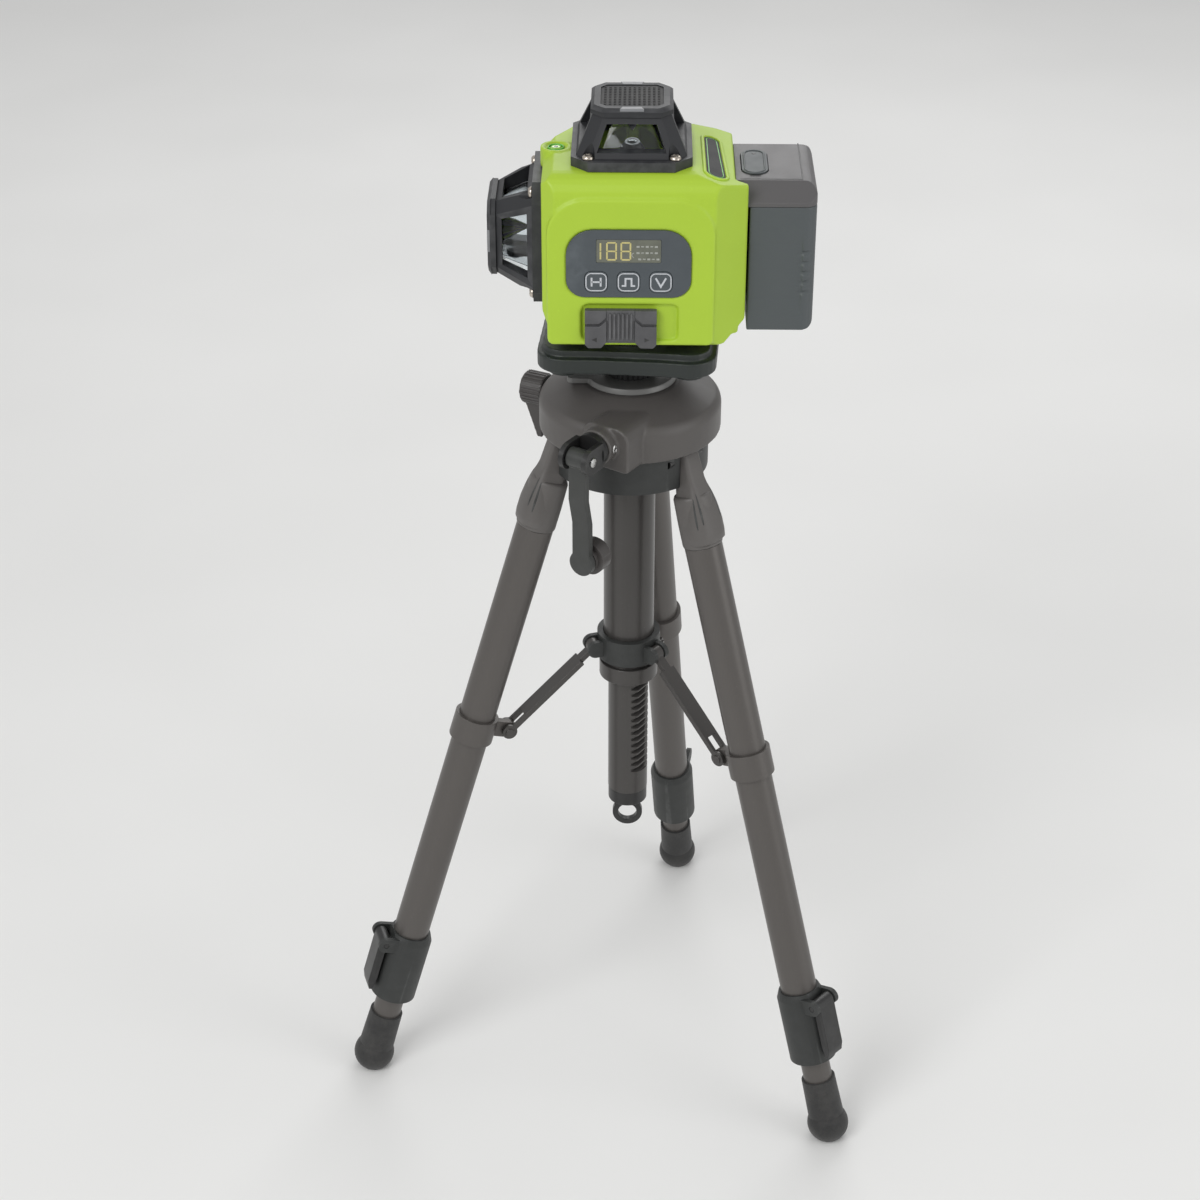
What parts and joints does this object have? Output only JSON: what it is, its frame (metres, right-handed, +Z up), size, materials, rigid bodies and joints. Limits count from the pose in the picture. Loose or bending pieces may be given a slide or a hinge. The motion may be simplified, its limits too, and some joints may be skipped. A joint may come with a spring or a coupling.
{
  "type": "laser level on tripod",
  "caption": "Self-levelling cross-line laser with glazed turrets on a rotary foot, screwed to a small tripod with folding braced legs and a cranked column.",
  "frame": {"origin": "on the floor, at the centre of the box round the three open feet", "axes": "+Z up, front (the keys) towards -Y, battery towards +X"},
  "size_m": [0.2712, 0.2643, 0.547],
  "materials": {
    "head_plastic": "moulded, fine grain",
    "core_plastic": "moulded, fine grain",
    "knuckle_plastic": "moulded, fine grain",
    "bronze_tube": "satin bronze-grey coat",
    "steel": "plain",
    "chrome": "bright thread",
    "black_plastic": "moulded",
    "plate_metal": "grey coat",
    "rubber": "soft",
    "foot_plastic": "moulded",
    "brass": "turned",
    "lime_plastic": "soft satin",
    "panel_plastic": "satin overlay",
    "key_plastic": "membrane",
    "switch_plastic": "moulded",
    "cage_plastic": "coarse grain",
    "window": "clear",
    "screw_nickel": "plated",
    "vial_liquid": "tinted",
    "gimbal_metal": "cast",
    "laser_brass": "turned",
    "mirror": "polished",
    "board": "solder mask",
    "battery_plastic": "fine grain",
    "battery_cap_plastic": "fine grain",
    "cell_wrap": "shrink film"
  },
  "bodies": {
    "head": {"head_crown": "head_plastic", "head_base": "core_plastic", "guide_tube": "bronze_tube", "leg_hinge_pins": "steel"},
    "leg_1": {"leg_1_knuckle": "knuckle_plastic", "leg_1_upper_tube": "bronze_tube", "leg_1_clamp": "core_plastic"},
    "leg_1_lever_body": {"leg_1_lever": "black_plastic"},
    "leg_1_lower": {"leg_1_lower_tube": "bronze_tube", "leg_1_foot": "rubber"},
    "leg_2": {"leg_2_knuckle": "knuckle_plastic", "leg_2_upper_tube": "bronze_tube", "leg_2_clamp": "core_plastic"},
    "leg_2_lever_body": {"leg_2_lever": "black_plastic"},
    "leg_2_lower": {"leg_2_lower_tube": "bronze_tube", "leg_2_foot": "rubber"},
    "leg_3": {"leg_3_knuckle": "knuckle_plastic", "leg_3_upper_tube": "bronze_tube", "leg_3_clamp": "core_plastic"},
    "leg_3_lever_body": {"leg_3_lever": "black_plastic"},
    "leg_3_lower": {"leg_3_lower_tube": "bronze_tube", "leg_3_foot": "rubber"},
    "brace": {"brace_collar": "core_plastic"},
    "strut_1": {"brace_strut_1": "bronze_tube"},
    "strut_2": {"brace_strut_2": "bronze_tube"},
    "strut_3": {"brace_strut_3": "bronze_tube"},
    "column": {"center_column": "bronze_tube", "column_hook": "black_plastic", "top_plate": "plate_metal", "mounting_stud": "chrome"},
    "jam_collar": {"lock_collar": "black_plastic"},
    "crank": {"crank_shaft": "black_plastic"},
    "arm": {"crank_arm": "black_plastic"},
    "knob": {"crank_knob": "head_plastic"},
    "column_lock": {"column_lock_knob": "head_plastic"},
    "level_foot": {"base_plate": "foot_plastic", "base_insert": "brass"},
    "level": {"turntable": "gimbal_metal", "body_shell": "lime_plastic", "bottom_cover": "lime_plastic", "control_panel": "panel_plastic", "top_cage": "cage_plastic", "left_cage": "cage_plastic", "rear_cage": "cage_plastic", "window_glass": "window", "cage_screws": "screw_nickel", "bullseye_vial": "vial_liquid", "cone_mirrors": "mirror", "circuit_board": "board"},
    "key_1": {"key_horizontal": "key_plastic"},
    "key_2": {"key_pulse": "key_plastic"},
    "key_3": {"key_vertical": "key_plastic"},
    "switch": {"lock_switch": "switch_plastic"},
    "gimbal": {"gimbal_ring": "gimbal_metal"},
    "pendulum": {"pendulum_frame": "gimbal_metal", "laser_modules": "laser_brass"},
    "battery": {"battery_case": "battery_plastic", "battery_cap": "battery_cap_plastic", "battery_cells": "cell_wrap"},
    "port_flap": {"usb_flap": "battery_plastic"}
  },
  "joints": [
    {"name": "leg_1_fold", "type": "hinge", "parent": "head", "child": "leg_1", "pos_m": [-0.01895, -0.03385, 0.372], "axis": [0.309, -0.9511, 0], "range_deg": [0, 15.5]},
    {"name": "leg_2_fold", "type": "hinge", "parent": "head", "child": "leg_2", "pos_m": [0.04204, -0.04682, 0.372], "axis": [0.6691, 0.7431, 0], "range_deg": [0, 15.5]},
    {"name": "leg_3_fold", "type": "hinge", "parent": "head", "child": "leg_3", "pos_m": [0.02278, 0.01249, 0.372], "axis": [-0.9781, 0.2079, 0], "range_deg": [0, 15.5]},
    {"name": "leg_1_extend", "type": "slide", "parent": "leg_1", "child": "leg_1_lower", "axis": [-0.2781, -0.0903, -0.9563], "range_m": [0, 0.24]},
    {"name": "leg_1_lever_turn", "type": "hinge", "parent": "leg_1", "child": "leg_1_lever_body", "pos_m": [-0.11648, -0.06554, 0.08651], "axis": [-0.309, 0.9511, 0], "range_deg": [0, 100]},
    {"name": "leg_2_extend", "type": "slide", "parent": "leg_2", "child": "leg_2_lower", "axis": [0.2173, -0.1956, -0.9563], "range_m": [0, 0.24]},
    {"name": "leg_2_lever_turn", "type": "hinge", "parent": "leg_2", "child": "leg_2_lever_body", "pos_m": [0.11825, -0.11544, 0.08651], "axis": [-0.6691, -0.7431, 0], "range_deg": [0, 100]},
    {"name": "leg_3_extend", "type": "slide", "parent": "leg_3", "child": "leg_3_lower", "axis": [0.0608, 0.286, -0.9563], "range_m": [0, 0.24]},
    {"name": "leg_3_lever_turn", "type": "hinge", "parent": "leg_3", "child": "leg_3_lever_body", "pos_m": [0.0441, 0.1128, 0.08651], "axis": [0.9781, -0.2079, 0], "range_deg": [0, 100]},
    {"name": "brace_rise", "type": "slide", "parent": "head", "child": "brace", "axis": [0, 0, 1], "range_m": [0, 0.01892]},
    {"name": "strut_1_turn", "type": "hinge", "parent": "brace", "child": "strut_1", "pos_m": [-0.00278, -0.0286, 0.25104], "axis": [0.309, -0.9511, 0], "range_deg": [0, 46]},
    {"name": "strut_2_turn", "type": "hinge", "parent": "brace", "child": "strut_2", "pos_m": [0.02941, -0.03544, 0.25104], "axis": [0.6691, 0.7431, 0], "range_deg": [0, 46]},
    {"name": "strut_3_turn", "type": "hinge", "parent": "brace", "child": "strut_3", "pos_m": [0.01924, -0.00414, 0.25104], "axis": [-0.9781, 0.2079, 0], "range_deg": [0, 46]},
    {"name": "column_rise", "type": "slide", "parent": "head", "child": "column", "axis": [0, 0, 1], "range_m": [0, 0.2]},
    {"name": "crank_turn", "type": "hinge", "parent": "head", "child": "crank", "pos_m": [-0.00835, -0.08607, 0.391], "axis": [-0.5446, -0.8387, 0], "range_deg": [-1800.5, 0]},
    {"name": "crank_arm_fold", "type": "hinge", "parent": "crank", "child": "arm", "pos_m": [-0.00835, -0.08607, 0.391], "axis": [-0.8387, 0.5446, 0], "range_deg": [0, 180]},
    {"name": "crank_knob_spin", "type": "hinge", "parent": "arm", "child": "knob", "pos_m": [-0.00509, -0.08104, 0.333], "axis": [-0.5446, -0.8387, 0], "continuous": true},
    {"name": "column_lock_turn", "type": "hinge", "parent": "head", "child": "column_lock", "pos_m": [-0.03002, -0.0016, 0.386], "axis": [-0.9063, 0.4226, 0], "range_deg": [-90, 90]},
    {"name": "jam_collar_spin", "type": "hinge", "parent": "column", "child": "jam_collar", "pos_m": [0.01529, -0.02273, 0.411], "axis": [0, 0, 1], "continuous": true},
    {"name": "level_lift_off", "type": "slide", "parent": "column", "child": "level_foot", "axis": [0, 0, 1], "range_m": [0, 0.05]},
    {"name": "level_turn", "type": "hinge", "parent": "level_foot", "child": "level", "pos_m": [0.01529, -0.02273, 0.432], "axis": [0, 0, 1], "continuous": true},
    {"name": "key_1_press", "type": "slide", "parent": "level", "child": "key_1", "axis": [0, 1, 0], "range_m": [0, 0.0003], "stiffness_N_per_m": 2000},
    {"name": "key_2_press", "type": "slide", "parent": "level", "child": "key_2", "axis": [0, 1, 0], "range_m": [0, 0.0003], "stiffness_N_per_m": 2000},
    {"name": "key_3_press", "type": "slide", "parent": "level", "child": "key_3", "axis": [0, 1, 0], "range_m": [0, 0.0003], "stiffness_N_per_m": 2000},
    {"name": "lock_switch_slide", "type": "slide", "parent": "level", "child": "switch", "axis": [1, 0, 0], "range_m": [0, 0.009]},
    {"name": "gimbal_pitch", "type": "hinge", "parent": "level", "child": "gimbal", "pos_m": [0.01529, -0.02273, 0.503], "axis": [0, 1, 0], "range_deg": [-4, 4]},
    {"name": "pendulum_roll", "type": "hinge", "parent": "gimbal", "child": "pendulum", "pos_m": [0.01529, -0.02273, 0.503], "axis": [1, 0, 0], "range_deg": [-4, 4]},
    {"name": "battery_slide", "type": "slide", "parent": "level", "child": "battery", "axis": [1, 0, 0], "range_m": [0, 0.045]},
    {"name": "port_flap_lift", "type": "hinge", "parent": "battery", "child": "port_flap", "pos_m": [0.07299, -0.02873, 0.5116], "axis": [1, 0, 0], "range_deg": [0, 100]}
  ],
  "couplings": [
    {"joint": "leg_2_fold", "follows": "leg_1_fold", "ratio": 1},
    {"joint": "leg_3_fold", "follows": "leg_1_fold", "ratio": 1},
    {"joint": "brace_rise", "follows": "leg_1_fold", "m_per_rad": 0.069566},
    {"joint": "strut_1_turn", "follows": "leg_1_fold", "ratio": 2.961},
    {"joint": "strut_2_turn", "follows": "leg_1_fold", "ratio": 2.961},
    {"joint": "strut_3_turn", "follows": "leg_1_fold", "ratio": 2.961},
    {"joint": "crank_turn", "follows": "column_rise", "rad_per_m": -157.08}
  ]
}
